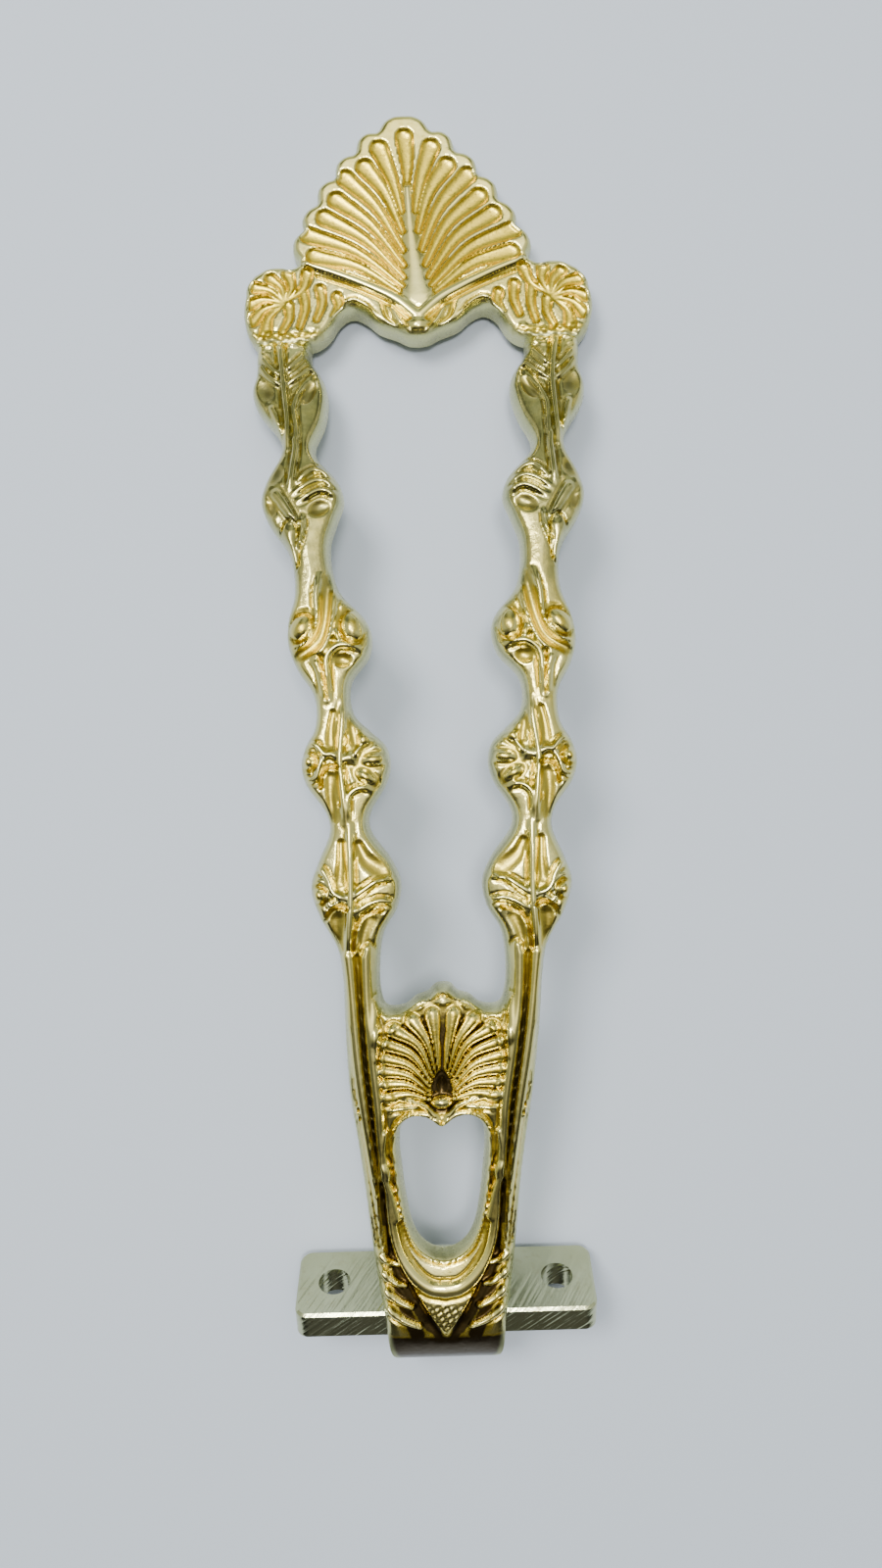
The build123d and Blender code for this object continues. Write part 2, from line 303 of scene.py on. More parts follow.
def fill(rim, edges, loops):
    """Points and faces of the flat back: the rim's own points first, then a coarse grid inside."""
    low, high = rim.min(0), rim.max(0)
    gx, gy = np.meshgrid(
        np.arange(low[0], high[0], BACK_PITCH),
        np.arange(low[1] + BACK_PITCH / 2, high[1], BACK_PITCH),
    )
    inner = np.column_stack([gx.ravel(), gy.ravel()])
    depth = inside_depth(inner[:, 0], inner[:, 1], loops)
    inner = inner[depth > BACK_PITCH * 0.4]
    points = np.vstack([rim, inner])
    found = delaunay_2d_cdt([Vector(p) for p in points.tolist()], edges, [], 0, 1e-7)
    spots = np.array([tuple(v) for v in found[0]])
    home = [sources[0] if sources else -1 for sources in found[3]]
    triangles = np.array([f for f in found[2]])
    centres = spots[triangles].mean(axis=1)
    central = inside_depth(centres[:, 0], centres[:, 1], loops) > 0
    rim_edges = set(edges)
    kept = []
    for triangle, inside in zip(triangles.tolist(), central):
        face = [home[v] for v in triangle]
        sides = list(zip(face, face[1:] + face[:1]))
        # beside the rim, the side of it that the triangle lies on decides, not its middle
        if any((a, b) in rim_edges for a, b in sides):
            inside = True
        elif any((b, a) in rim_edges for a, b in sides):
            inside = False
        if inside:
            kept.append(face)
    return points, kept


def casting(name, loops, top, back, material):
    """A closed casting: a relief surface over a cut grid, walls round its edges and a back."""
    points, depth, faces, edges = cut_grid(loops, PITCH)
    x, y = points[:, 0], points[:, 1]
    z, recess, hollow_shade, dim_reflection = top(x, y, depth)
    side = 1 - smooth_step(depth, *SIDE_BAND)
    z_back = back(y)
    z = np.maximum(z, z_back + LEAST_WALL)
    n = len(points)
    rim = sorted({v for edge in edges for v in edge})
    place = {v: k for k, v in enumerate(rim)}
    rim_index = np.array(rim)
    rim_edges = [(place[a], place[b]) for a, b in edges]
    back_points, back_faces = fill(points[rim_index], rim_edges, loops)
    vertices = [
        np.column_stack([x, y, z]),
        np.column_stack([back_points, back(back_points[:, 1])]),
    ]
    all_faces = list(faces)
    all_faces += [[n + v for v in face[::-1]] for face in back_faces]
    # the wall's rows of points, from the relief's edge down to the back's
    ladder = [rim_index]
    count = n + len(back_points)
    for row in range(1, WALL_ROWS):
        share = row / WALL_ROWS
        ladder.append(count + np.arange(len(rim)))
        level = z[rim_index] * (1 - share) + z_back[rim_index] * share
        vertices.append(np.column_stack([x[rim_index], y[rim_index], level]))
        count += len(rim)
    ladder.append(n + np.arange(len(rim)))
    for ka, kb in rim_edges:
        for row in range(WALL_ROWS):
            upper, lower = ladder[row], ladder[row + 1]
            all_faces.append([int(upper[kb]), int(upper[ka]), int(lower[ka]), int(lower[kb])])
    vertices = np.vstack(vertices)
    vertices[:, 0] += bend(vertices[:, 1])
    vertices = np.clip(vertices, BOX_LOW, BOX_HIGH)
    extra = len(vertices) - n
    marks = {
        "recess": np.concatenate([recess, np.zeros(extra)]),
        "hollow_shade": np.concatenate([hollow_shade, np.full(extra, hollow_shade.mean())]),
        "side": np.concatenate([side, np.ones(extra)]),
        "dim_reflection": np.concatenate([dim_reflection, np.zeros(extra)]),
    }
    return build(name, vertices, all_faces, marks, material)


def build(name, vertices, faces, marks, material):
    """A mesh object in the scene. marks: values at its points that the material reads."""
    mesh = bpy.data.meshes.new(name)
    mesh.from_pydata((vertices * MM).tolist(), [], faces)
    for key, values in marks.items():
        layer = mesh.attributes.new(key, "FLOAT", "POINT")
        layer.data.foreach_set("value", values.astype(np.float32))
    mesh.validate()
    mesh.polygons.foreach_set("use_smooth", [True] * len(mesh.polygons))
    mesh.set_sharp_from_angle(angle=math.radians(SHARP_ANGLE))
    obj = bpy.data.objects.new(name, mesh)
    bpy.context.scene.collection.objects.link(obj)
    mesh.materials.append(material)
    return obj


# ---------------------------------------------------------------- the casting's lines

# sideways bow of the casting, along its length
bend = line_through([
    (-110, 0), (-80, 0), (-66, 0.1), (-55, 0.3), (-40, 0.9), (-22, 1.2), (-8, 1.35), (6, 1.1),
    (20, 0.3), (34, 0), (45, 0.2), (55, -0.35), (69, 0), (81, -1.0), (TIP_Y, -1.6),
])

# height of the front over the table
front = line_through([
    (HEEL_Y, 5.3), (-99.35, 8.5), (-98.2, 11.4), (-96.35, 13.8), (-91.35, 16.8), (-75.35, 18.8),
    (-60.35, 21.2), (-35.85, 23.9), (-24.4, 24.6), (-6.1, 24.5), (13.1, 23.0), (35, 18.7),
    (52.7, 10.8), (60.2, 8.3), (JOINT_Y, 7.9), (62.2, 6.9), (70, 6.4),
])
crest_front = line_through([(50, 10.6), (JOINT_Y, 7.9), (80.45, 4.8), (TIP_Y + 1, 3.3)])

HEEL_RADIUS = 10.5  # of the hollow that the bracket swings in
HOLLOW_TOP = 13.85
HOLLOW_END_Y = -72
HEEL_BOTTOM = frame_low.z / MM
arm_thickness = line_through([
    (-100, 3.0), (-88, 3.0), (-72, 4.4), (-58, 5.3), (-40, 5.5), (70, 5.5),
])


def frame_back(y):
    """Height of the back of the arms, and of the hollow in the foot."""
    rear = PIN_Y - HEEL_RADIUS
    over = np.sqrt(np.maximum(HEEL_RADIUS**2 - (y - PIN_Y) ** 2, 0)) + PIN_Z
    hollow = np.minimum(over, HOLLOW_TOP)
    under = front(y) - arm_thickness(y)
    z = np.where(y < HOLLOW_END_Y, np.maximum(hollow, under), under)
    return np.where(y < rear, HEEL_BOTTOM, z)


crest_back_line = line_through([(50, 3.6), (JOINT_Y, 2.5), (74.15, 0.0), (TIP_Y + 5, 0.0)])
TABLE_GAP = 0.02


def crest_back(y):
    """Height of the back of the crest, which lies all but on the table."""
    return np.maximum(crest_back_line(y), TABLE_GAP)


# Right half of each outline
outer_side = curve([
    (0, HEEL_Y), (3.5, HEEL_Y), (6.2, -99.3), (7.9, -98.0), (8.6, -96), (9.1, -91.4),
    (10.0, -85.4), (11.1, -77), (11.8, -69.5), (12.7, -62), (13.7, -55), (14.4, -45.6),
    (14.8, -37), (15.5, -33),
    (18.0, -28.3), (19.2, -24), (18.1, -20.4), (16.3, -15.8), (16.8, -13.2), (19.6, -9.1),
    (20.3, -6.2), (19.6, -3.4), (18.1, -0.6), (18.0, 4.0), (20.2, 8.0), (21.3, 11.5), (21.1, 15),
    (19.8, 19.6), (20.3, 25.4), (23.4, 30.5), (24.5, 34), (23.9, 37), (21.8, 42.4), (22.4, 45.2),
    (25.6, 50.2), (26.3, 53.4), (25.7, 56.4), (25.8, 60.0), (25.6, 63.4),
], 5)
inner_side = curve([
    (16.9, 63.4), (17.1, 59.2), (14.9, 55), (14.5, 52), (15.2, 47.6), (16.8, 43.2), (16.3, 41.2),
    (12.9, 37), (12.1, 34), (13.2, 30.5), (14.3, 26.6), (13.3, 20), (9.5, 15.2), (8.9, 12.6),
    (9.6, 9.7), (12.5, 5.9), (12.4, 1.4), (10.1, -1.2), (7.9, -3.4), (7.2, -6.2), (7.9, -9.1),
    (10.4, -13.4), (10.4, -15.8), (7.4, -20.2), (6.0, -23.7), (6.6, -27.4), (8.5, -30.7),
    (9.2, -34), (9.2, -39.6), (8.3, -42.0), (5.6, -42.0), (3.9, -40.7), (2.2, -40.1),
    (1.1, -39.0), (0, -38.8),
], 5)
outer_side[:, 1] = np.maximum(outer_side[:, 1], HEEL_Y)
frame_outline = mirrored_loop(np.vstack([outer_side, inner_side]))
opening = mirrored_loop(curve([
    (0, -79.9), (1.9, -79.4), (3.6, -78.0), (4.7, -75.8), (5.5, -72), (6.1, -67), (6.4, -62.6),
    (5.9, -60.0), (4.2, -58.8), (2.2, -59.1), (0.9, -60.1), (0, -60.6),
], 5))[::-1]

crest_outline = mirrored_loop(np.vstack([
    curve([
        (0, 61.8), (1.6, 62.0), (3.3, 62.9), (6.4, 64.2), (8.6, 66.1), (10.7, 66.9), (12.6, 65.8),
        (14.2, 63.2), (15.6, 61.9), (17.2, JOINT_Y + 0.1), (21.5, JOINT_Y), (25.6, JOINT_Y + 0.1),
        (26.9, 62.6),
    ], 4),
    curve([(27.4, 63.6), (28.0, 66.4), (27.9, 68.6)], 3),
    curve([(27.7, 69.4), (27.4, 71.4), (26.0, 73.2)], 3),
    curve([(25.3, 73.6), (23.8, 74.4), (21.6, 74.6), (19.9, 74.3), (18.7, 74.9)], 3),
    curve([(18.6, 75.8), (19.3, 77.3), (18.9, 79.3), (17.5, 80.6)], 3),
    curve([(17.2, 81.0), (17.4, 82.6), (16.4, 84.2), (15.0, 85.0)], 3),
    curve([(14.7, 85.4), (14.5, 87.6), (13.2, 88.9), (12.0, 89.3)], 3),
    curve([(11.6, 89.7), (11.3, 91.8), (10.0, 93.0), (8.5, 93.4)], 3),
    curve([(8.1, 93.8), (7.6, 95.8), (6.2, 96.9), (4.6, 97.0)], 3),
    curve([(4.2, 97.3), (3.2, 98.8), (1.6, 99.65), (0, TIP_Y)], 3),
]))


# ---------------------------------------------------------------- ornament of the arms

# Each bulge: its middle, then strokes, bosses and rings measured from the middle, u outward and v
# toward the crest. stroke: points, width, end width, height. boss: centre, radii, height, turn.
# ring: centre, radii, width, height, turn.
BULGES = [
    ((12.85, -24.4), [
        ("stroke", [(0.3, 9.5), (0.3, 3), (0.3, -1.4), (0.6, -5), (0.9, -9.5)], 1.0, 1.1, 0.75),
        ("stroke", [(0.3, -1.4), (2.7, -0.3), (3.5, 1.6), (4.6, 3.3), (5.7, 3.6)], 1.1, 0.7, 0.7),
        ("stroke", [(1.4, -0.9), (3.2, -2.2), (3.6, -1.0), (3.5, 0.4), (4.4, 1.5), (5.6, 1.6)],
         0.8, 0.6, 0.5),
        ("stroke", [(0.3, -1.2), (-1.8, 0.2), (-3.5, 1.3), (-5.6, 1.6)], 1.1, 0.7, 0.65),
        ("stroke", [(-0.1, -3.4), (-2.3, -2.0), (-4.0, -1.5), (-6.0, -1.9)], 1.0, 0.8, 0.6),
        ("boss", (5.0, -0.6), (1.05, 1.05), 0.75, 0),
        ("ring", (5.0, -0.6), (1.35, 1.35), 0.6, -0.6, 0),
        ("stroke", [(-0.9, 6.6), (-1.9, 4.6), (-4.1, 2.9)], 1.4, 2.6, -0.6),
        ("stroke", [(1.6, 7.0), (1.6, 3.6), (1.8, 1.2)], 1.0, 1.9, -0.6),
        ("stroke", [(0.9, -2.6), (2.1, -2.2), (3.4, -3.0), (4.2, -4.3)], 0.7, 0.6, -0.8),
        ("stroke", [(2.3, -4.1), (2.3, -6.2), (2.0, -8.9)], 2.2, 1.2, -0.55),
        ("stroke", [(-2.3, -4.2), (-1.6, -6.0), (-1.0, -8.9)], 2.0, 1.2, -0.5),
        ("stroke", [(-4.2, -3.0), (-2.9, -3.2), (-1.2, -4.0), (-0.2, -6.0), (0.1, -9)],
         0.6, 0.5, -0.7),
    ]),
    ((14.05, -6.1), [
        ("stroke", [(-0.6, 9.0), (-0.2, 5), (0.3, 0.5), (0, -3.5), (-0.4, -8.6)], 1.0, 1.0, 0.75),
        ("stroke", [(0.4, 0.8), (1.4, 1.5), (2.4, 1.5), (3.6, 2.8), (5.0, 3.2)], 1.1, 0.7, 0.7),
        ("stroke", [(2.4, 1.5), (3.3, -0.2), (3.9, -1.9), (5.6, -2.4)], 0.9, 0.7, 0.6),
        ("boss", (4.95, 0.5), (1.0, 1.0), 0.75, 0),
        ("ring", (4.95, 0.5), (1.3, 1.3), 0.6, -0.6, 0),
        ("boss", (-3.4, 3.7), (1.5, 0.95), 0.7, 130),
        ("boss", (-4.8, 0.6), (1.7, 0.9), 0.7, 175),
        ("boss", (-3.4, -1.9), (1.5, 0.85), 0.65, 215),
        ("stroke", [(-1.7, 1), (-0.8, 0.9), (0.2, 0.6)], 1.5, 1.1, 0.55),
        ("stroke", [(-1.7, 1.0), (-2.5, 2.2), (-2.9, 3.0)], 0.8, 0.6, 0.5),
        ("stroke", [(-3.9, -3.6), (-2.3, -3.5), (-0.9, -4.6), (-0.7, -8.0)], 1.0, 0.7, 0.6),
        ("stroke", [(0.8, -0.4), (1.9, -0.3), (2.9, -1.5), (3.2, -3.3)], 0.7, 0.6, -0.8),
        ("stroke", [(1.6, -1.9), (1.7, -4.4), (1.3, -8.0)], 2.0, 1.1, -0.6),
        ("stroke", [(-1.2, 7.0), (-1.6, 4.8), (-2.0, 3.0)], 1.0, 1.4, -0.5),
        ("stroke", [(1.0, 7.5), (1.4, 5.0), (1.5, 2.9)], 1.0, 1.7, -0.6),
    ]),
    ((15.4, 13.1), [
        ("stroke", [(-0.9, 8.4), (-0.5, 5.6), (0, 1.9), (1.2, -1.2), (4.3, -3.4)], 1.5, 1.7, -0.75),
        ("stroke", [(0.3, 8.6), (0.9, 5.9), (1.2, 1.2), (3.1, -1.5), (5.2, -2.3)], 1.0, 0.8, 0.65),
        ("stroke", [(-2.1, 7.6), (-1.7, 4.9), (-1.1, 1.6), (0.1, -1.8), (1.8, -3.6)],
         0.9, 0.8, 0.65),
        ("boss", (3.5, 0.9), (1.35, 1.9), 0.75, 35),
        ("ring", (3.5, 0.9), (1.7, 2.25), 0.55, -0.7, 35),
        ("boss", (-4.05, 0.9), (1.45, 2.1), 0.75, 0),
        ("ring", (-4.05, 0.9), (1.85, 2.5), 0.6, -0.7, 0),
        ("boss", (-1.7, -0.5), (0.6, 1.3), 0.5, -15),
        ("stroke", [(-4.9, -2.4), (-3.4, -1.9), (-1.6, -1.9), (0, -3.4), (0.2, -6.5), (0.3, -9.8)],
         1.0, 1.0, 0.7),
        ("boss", (-2.1, -4.0), (1.6, 1.3), -0.75, 0),
        ("stroke", [(1.9, -3.9), (1.3, -5.4), (0.7, -9.8)], 1.2, 1.0, 0.5),
        ("stroke", [(1.2, -3.3), (0.75, -6), (0.5, -9.6)], 0.45, 0.45, -0.6),
    ]),
    ((18.5, 35.0), [
        ("stroke", [(-4.9, 2.0), (-3.4, 3.2), (-1.9, 3.4), (0.2, 1.6)], 1.0, 0.9, 0.65),
        ("stroke", [(-5.2, 0.5), (-3.9, 1.5), (-2.6, 1.6), (0.6, -0.2)], 1.0, 0.9, 0.65),
        ("stroke", [(-5.4, -1.0), (-4.3, -0.1), (-3.1, 0.0), (-0.1, -1.6)], 1.0, 0.9, 0.65),
        ("boss", (-3.1, -2.9), (1.9, 1.3), -0.7, -25),
        ("stroke", [(3.9, 0.4), (2.6, -1.6), (1.4, -3.5), (0.5, -5.2)], 1.5, 1.1, 0.65),
        ("boss", (4.3, -2.9), (1.3, 1.5), -0.55, 20),
        ("stroke", [(1.2, 9.5), (0.9, 7.6), (1.1, 4), (1.3, 0.5)], 1.0, 0.9, 0.7),
        ("boss", (3.6, 2.9), (1.3, 1.9), -0.5, 10),
        ("stroke", [(-0.6, -4.2), (-0.6, -6.0), (0.2, -9.0)], 0.8, 0.6, 0.5),
        ("stroke", [(1.4, -5.6), (1.4, -8.6), (0.9, -12.4)], 1.9, 1.0, 0.55),
        ("ring", (1.4, -8.6), (1.5, 4.1), 0.5, -0.6, 0),
    ]),
    ((20.6, 52.7), [
        ("stroke", [(1.2, 8.9), (1.1, 7.5), (0.4, 1.4), (0.1, -5.0), (0.1, -10.5)], 1.0, 1.0, 0.75),
        ("stroke", [(-2.9, 6.6), (-1.6, 5.0), (-0.1, 3.5)], 0.9, 0.8, 0.55),
        ("stroke", [(4.1, 6.2), (2.8, 4.4), (1.1, 2.6)], 0.9, 0.8, 0.55),
        ("stroke", [(-5.0, 1.0), (-4.8, 3.3), (-3.6, 3.7), (-2.4, 2.6), (-0.1, 0.9)],
         0.9, 0.8, 0.65),
        ("stroke", [(5.3, 4.2), (4.2, 4.3), (2.9, 2.6), (0.4, 0.5)], 0.9, 0.8, 0.65),
        ("boss", (-3.3, -0.6), (1.3, 2.4), -0.75, 25),
        ("stroke", [(-3.1, 1.0), (-1.7, -1.2), (-1.0, -3.3), (-1.2, -6.5), (-1.3, -10.5)],
         0.9, 0.8, 0.6),
        ("boss", (3.3, 0.0), (1.5, 2.2), -0.5, -20),
        ("stroke", [(2.6, -2.6), (1.7, -5.2), (1.4, -9.6)], 0.9, 0.8, 0.55),
    ]),
]


ARM_BREADTH = 1.3  # the soft ridges are laid this much wider than their crowns
ARM_POWER = 1.3
EYE_SIZE = 2.2  # domed bosses under this radius are eyes
EYE_STAIN = 0.5


def arm_ornament(relief):
    """The marks of every bulge, on both arms."""
    for (cx, cy), marks in BULGES:
        for side in (1, -1):
            for mark in marks:
                if mark[0] == "stroke":
                    _, points, width, end_width, height = mark
                    path = [(side * (cx + u), cy + v) for u, v in points]
                    relief.stroke(
                        path, ARM_BREADTH * width, height, ARM_BREADTH * end_width, ARM_POWER
                    )
                elif mark[0] == "boss":
                    _, (u, v), radii, height, turn = mark
                    stain_and_shade = EYE_STAIN if height > 0 and max(radii) < EYE_SIZE else 0.0
                    centre = (side * (cx + u), cy + v)
                    relief.boss(centre, radii, height, side * turn, 1.0, stain_and_shade)
                else:
                    _, (u, v), radii, width, height, turn = mark
                    relief.ring((side * (cx + u), cy + v), radii, width, height, side * turn)


# ---------------------------------------------------------------- ornament of the bridge and foot

HUB_Y = -56.0
# one side's petals, from the top down, each from its root to its tip, measured from the hub
PETALS = [
    [(0.5, 5.0), (1.0, 9.2), (1.55, 13.2)],
    [(0.9, 4.6), (2.3, 9.2), (4.4, 12.2)],
    [(1.3, 4.0), (3.6, 8.7), (7.2, 10.9)],
    [(1.6, 3.2), (4.4, 7.2), (8.1, 8.8)],
    [(1.8, 2.5), (4.8, 5.6), (8.2, 6.7)],
    [(1.9, 1.8), (4.9, 4.1), (8.2, 4.8)],
    [(1.9, 1.2), (4.8, 2.7), (8.0, 2.9)],
    [(1.8, 0.5), (4.8, 1.3), (7.9, 0.9)],
]


def palmette(relief):
    """The shell on the bridge: petals, the cuts between them painted dark as shade, their sunk bed,
    root and hub.
    """
    for petal in PETALS:
        for side in (1, -1):
            path = [(side * u, HUB_Y + v) for u, v in petal]
            relief.stroke(path, 0.7, 0.8, 2.05, 0.6, 0.5)
    # the cuts between the petals are painted dark as shade
    for upper, lower in zip(PETALS, PETALS[1:]):
        for side in (1, -1):
            path = [
                (side * (a[0] + b[0]) / 2, HUB_Y + (a[1] + b[1]) / 2) for a, b in zip(upper, lower)
            ]
            relief.stroke(path, 0.45, -0.75, 0.6, 1.0, 0.9)
    relief.boss((0, HUB_Y + 6), (8.6, 8.6), -0.5, 0, 0.15)
    relief.boss((0, HUB_Y + 2.4), (1.1, 2.4), -0.9)
    relief.boss((0, HUB_Y), (1.5, 1.05), 1.5, 0, 0.6)
    # moulding along the top of the bridge
    relief.stroke([
        (-8.6, HUB_Y + 14.6), (-5.2, HUB_Y + 14.4), (-3.6, HUB_Y + 15.4), (-2.0, HUB_Y + 15.8),
        (0, HUB_Y + 16.9), (2.0, HUB_Y + 15.8), (3.6, HUB_Y + 15.4), (5.2, HUB_Y + 14.4),
        (8.6, HUB_Y + 14.6),
    ], 1.3, 0.7)


CHEVRONS = 4
CHEVRON_TOP = (9.6, -79.6)  # outer end of the first
CHEVRON_STEP = (-0.28, -2.8)
CHEVRON_LENGTH = 2.6
CHEVRON_GROWTH = 0.75


def foot_ornament(relief):
    """The beads, strands and leaves that frame the opening, on both sides."""
    for side in (1, -1):
        def at(*points):
            return [(side * u, v) for u, v in points]

        # scrolls under the palmette and the bead round the opening
        relief.stroke(
            at((0.4, -58.7), (1.4, -57.8), (2.5, -56.6), (5.0, -55.6), (8, -54.9)), 1.0, 0.7, 0.8
        )
        relief.stroke(at((3.4, -57.0), (5.6, -56.8), (7.7, -57.1)), 1.1, 0.6, 0.9)
        relief.stroke(at(
            (0.5, -59.6), (2.0, -58.3), (4.4, -58.1), (6.3, -59.5), (6.9, -62.5), (6.6, -67),
            (6.0, -72), (5.1, -76), (3.8, -78.7), (1.9, -80.2), (0, -80.7),
        ), 1.2, 0.75, 1.2)
        # long strands of the lower arm, from the lowest bulge down past the bridge
        relief.stroke(at(
            (13.9, -34), (13.4, -40), (12.6, -48), (11.4, -57), (10.2, -66), (9.2, -74), (8.8, -79),
        ), 1.9, 0.75, 1.3)
        relief.stroke(at(
            (11.0, -33), (10.9, -40), (10.3, -48), (9.4, -56), (8.9, -63), (8.4, -68),
        ), 1.7, 0.7, 1.3)
        relief.stroke(at(
            (12.4, -34), (12.1, -40), (11.4, -49), (10.4, -58), (9.7, -66), (9.4, -70),
        ), 0.9, -0.85, 0.9)
        relief.stroke(
            at((14.0, -46), (13.1, -54), (12.1, -62), (11.2, -70), (10.2, -78)), 0.6, -0.7, 0.6
        )
        relief.stroke(at((14.7, -38), (14.3, -42), (13.2, -45.5)), 1.3, 0.7, 0.5)
        relief.stroke(at((13.9, -49), (13.4, -54), (12.2, -58.5)), 1.3, 0.7, 0.5)
        relief.stroke(at((9.9, -41.0), (10.1, -45.0), (9.7, -49.5)), 1.8, 0.7, 0.6)
        relief.boss((side * 8.5, -66.3), (0.95, 2.3), 1.0, side * -14)
        relief.boss((side * 9.9, -46.2), (0.9, 2.4), 0.9, side * 4)
        # outer bead round the opening, the leaf beside it, and the groove that runs from the leaf
        # to the apex under the opening, painted dark as shade
        relief.stroke(at(
            (7.9, -70), (7.6, -75), (6.6, -79.6), (4.4, -83.2), (2.2, -84.9), (0, -85.3),
        ), 1.5, 0.7, 2.4)
        relief.stroke(at((8.4, -60.5), (8.9, -65.5), (7.9, -70), (7.1, -74)), 0.8, 0.75, 1.7)
        relief.stroke(at(
            (9.2, -68.5), (8.9, -74), (8.4, -78), (7.0, -82), (5.1, -86), (3.0, -90), (0.9, -93.6),
        ), 1.1, -0.95, 2.4, None, 1.0)
        # a wide shallow groove beside the V, painted dark as a shadow band
        relief.stroke(at((7.4, -83), (6.2, -88), (4.4, -92.5)), 2.6, -0.35, 4.6, 0.3, 0.95)
        # chevron leaves, longer toward the heel
        for row in range(CHEVRONS):
            u = CHEVRON_TOP[0] + CHEVRON_STEP[0] * row
            y = CHEVRON_TOP[1] + CHEVRON_STEP[1] * row
            length = CHEVRON_LENGTH + CHEVRON_GROWTH * row
            relief.stroke(at(
                (u, y), (u - 0.5 * length, y - 0.4 * length), (u - length, y - 0.62 * length),
            ), 1.7, 1.0, 0.9, 0.8)


def rounded_edge(depth, width, drop):
    """How far the surface lies below its line near an edge: a quarter of an oval."""
    t = np.clip(1 - depth / width, 0, 1)
    return drop * (1 - np.sqrt(1 - t * t))


def smooth_step(v, start, end):
    """0 up to start, 1 from end on, and a smooth rise between them."""
    t = np.clip((v - start) / (end - start), 0, 1)
    return t * t * (3 - 2 * t)


SEAM_Y = 61.6
LUMP_HEIGHT = 0.13


def lumps(x, y):
    """Small uneven lumps of braze round the joint of the arms and the crest."""
    off_seam = np.abs(y - SEAM_Y)
    near = (1 - smooth_step(off_seam, 0.8, 2.6)) * smooth_step(np.abs(x), 14.5, 16.5)
    wave = (
        np.sin(2.3 * x + 1.7 * y) + np.sin(3.1 * x - 2.6 * y + 1) + np.sin(5.2 * y + 1.4 * x + 2)
    )
    return LUMP_HEIGHT * near * wave


TRIANGLE_APEX_Y = -93.4
TRIANGLE_SLOPE = 0.6  # how much its half-width grows with each millimetre above the apex
GRAIN_HEIGHT = 0.09


def grainy_bed(x, y):
    """The rough cast bed of the small triangle under the opening."""
    inside = smooth_step(TRIANGLE_SLOPE * (y - TRIANGLE_APEX_Y) - np.abs(x), 0.2, 0.8)
    inside = inside * (1 - smooth_step(y, -88.2, -87.4))
    wave = (
        np.sin(5.3 * x + 2.1 * y) + np.sin(3.7 * x - 6.1 * y + 1) + np.sin(8.2 * y + 7.9 * x + 2)
    )
    return GRAIN_HEIGHT * inside * wave


GROUND_SHADE = 0.25
DARKEST_DEPTH = 0.6


def shade_of(height):
    """How dark a spot is: 0 on top of a ridge, a quarter on open ground, 1 deep in a hollow."""
    on_ridge = np.clip(GROUND_SHADE - 0.8 * height, 0, 1)
    in_hollow = GROUND_SHADE + (1 - GROUND_SHADE) * np.clip(-height / DARKEST_DEPTH, 0, 1)
    return np.where(height > 0, on_ridge, in_hollow)


EDGE_WIDTH = 1.25  # of the rounded edges
FRAME_EDGE_DROP = 3.2  # how far the edge falls from the front, except round the heel
ARM_CROWN = 0.85  # how far the arms' front falls from the middle to the edge
ARM_CROWN_WIDTH = 4.6
SLIGHT_DIM_REFLECTION = 0.36
# places along the length between which one thing gives way to another, in millimetres
HEEL_ROUND = (-97.5, -90.5)  # the arms' crowned section begins
HEEL_PLAIN = (-94.5, -90.5)  # the ornament begins
HEEL_DARK_REFLECTION = (-94.0, -91.8)  # the heel's painted dark reflection ends
FOOT_END = (-46, -38)  # the foot's colours give way to the arms'
UPPER_DIM_REFLECTION = (15, 23)  # the painted dim olive reflection is full
SEAM_BRIGHT = (57, 61)  # and the painted dim reflection ends at the seam


def frame_top(x, y, depth):
    """Height of the arms' and the foot's front, with what its material reads: recess, how deep in a
    hollow, which sets the amber, the painted shade there and the heel's painted dark reflection;
    hollow shade, how dark that painted shade is; dim reflection, how far the metal is coloured
    olive as a painted dim reflection."""
    relief = Relief(x, y)
    arm_ornament(relief)
    palmette(relief)
    foot_ornament(relief)
    height = relief.height()
    bed = -ARM_CROWN * np.clip(1 - depth / ARM_CROWN_WIDTH, 0, 1) ** 2
    bed = bed * smooth_step(y, *HEEL_ROUND)
    height = height * smooth_step(depth, 0.15, 0.9)
    height = height * smooth_step(y, *HEEL_PLAIN)
    drop = FRAME_EDGE_DROP * smooth_step(y, -97.0, -82.0)
    z = front(y) + bed + height + lumps(x, y) + grainy_bed(x, y)
    z = z - rounded_edge(depth, EDGE_WIDTH, drop)
    # the darkest painted shade spares the chevrons that stand in it
    on_chevron = smooth_step(relief.raised, 0.3, 0.5) * (y < -75)
    stain_and_shade = relief.stain_and_shade * np.where(relief.stain_and_shade > 0.7, 1 - on_chevron, 1)
    recess = np.maximum(shade_of(height), stain_and_shade) * smooth_step(depth, 0.6, 1.1)
    # painted dark reflection: the heel below the chevrons is coloured dark all over
    recess = np.maximum(recess, 1.1 * (1 - smooth_step(y, *HEEL_DARK_REFLECTION)))
    # strength of the painted shade deep in the hollows: full on the foot and heel, light on the
    # arms, stronger again toward the crest
    hollow_shade = 1 - 0.72 * smooth_step(y, -46, -30) + 0.4 * smooth_step(y, 20, 30)
    # painted dim olive reflection: slight on the lower arms and along the foot's rails, full on the
    # upper arms, gone at the seam
    arms = SLIGHT_DIM_REFLECTION * smooth_step(y, *FOOT_END)
    arms = arms + (1 - SLIGHT_DIM_REFLECTION) * smooth_step(y, *UPPER_DIM_REFLECTION)
    rails = SLIGHT_DIM_REFLECTION * smooth_step(np.abs(x), 8.6, 9.4) * (1 - smooth_step(y, *FOOT_END))
    dim_reflection = (arms + rails) * (1 - smooth_step(y, *SEAM_BRIGHT))
    return z, recess, hollow_shade, dim_reflection


# ---------------------------------------------------------------- ornament of the crest

